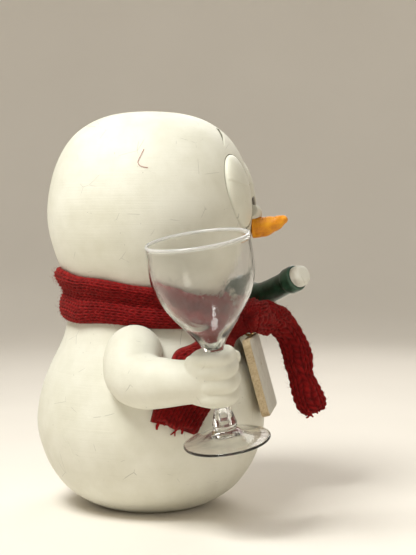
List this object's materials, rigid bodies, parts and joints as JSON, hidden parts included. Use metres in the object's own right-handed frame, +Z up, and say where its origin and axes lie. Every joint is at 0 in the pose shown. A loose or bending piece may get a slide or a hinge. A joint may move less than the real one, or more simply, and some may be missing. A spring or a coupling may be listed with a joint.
{
  "type": "snowman figure",
  "caption": "Standing turned-wood snowman with a knitted scarf, a clear goblet in one hand, a bottle in the other and a small hanging sign",
  "frame": {"origin": "centre of the flat base, on the surface that it stands on", "axes": "+Z up along the axis of the body and the head; the figure faces -Y; its right hand, with the goblet, is at -X"},
  "size_m": [0.2302, 0.1905, 0.2605],
  "materials": {
    "arm_paint_left": "matt white paint",
    "arm_paint_right": "matt white paint",
    "body_paint": "matt white paint on turned wood",
    "stopper_paint": "matt white paint",
    "carrot_paint": "satin orange paint",
    "eye_paint_left": "satin white paint",
    "eye_paint_right": "satin white paint",
    "clear_plastic": "clear moulded plastic",
    "head_paint": "matt white paint on turned wood",
    "beech": "bare",
    "pupil_paint_left": "black paint",
    "pupil_paint_right": "black paint",
    "red_wool": "worsted knit",
    "sign_paint": "thin grey-beige paint with bare edges",
    "brass": "bright",
    "green_paint": "satin dark green paint"
  },
  "bodies": {
    "root": {"arm_left": "arm_paint_left", "arm_right": "arm_paint_right", "body": "body_paint", "carrot_nose": "carrot_paint", "eye_left": "eye_paint_left", "eye_right": "eye_paint_right", "head": "head_paint", "neck_dowel": "beech", "pupil_left": "pupil_paint_left", "pupil_right": "pupil_paint_right", "scarf_knot": "red_wool", "scarf_tail_left": "red_wool", "scarf_tail_right": "red_wool", "scarf_wrap": "red_wool", "shoulder_dowel_left": "beech", "shoulder_dowel_right": "beech", "sign_hanger": "brass", "wine_bottle": "green_paint"},
    "goblet": {"goblet_bowl": "clear_plastic"},
    "goblet_foot": {"goblet_foot": "clear_plastic"},
    "sign": {"sign_board": "sign_paint", "sign_screw_eye": "brass"},
    "stopper": {"bottle_stopper": "stopper_paint"}
  },
  "joints": [
    {"name": "goblet_spin", "type": "hinge", "parent": "root", "child": "goblet", "pos_m": [-0.0828, -0.0616, 0.0557], "axis": [-0.172, 0.1201, 0.9777], "continuous": true},
    {"name": "goblet_foot_pull", "type": "slide", "parent": "goblet", "child": "goblet_foot", "axis": [0.172, -0.1201, -0.9777], "range_m": [0, 0.012]},
    {"name": "sign_swing", "type": "hinge", "parent": "root", "child": "sign", "pos_m": [0, -0.0654, 0.1156], "axis": [-1, 0, 0], "range_deg": [0, 38]},
    {"name": "stopper_pull", "type": "slide", "parent": "root", "child": "stopper", "axis": [-0.5997, -0.7096, 0.3698], "range_m": [0, 0.01]}
  ]
}
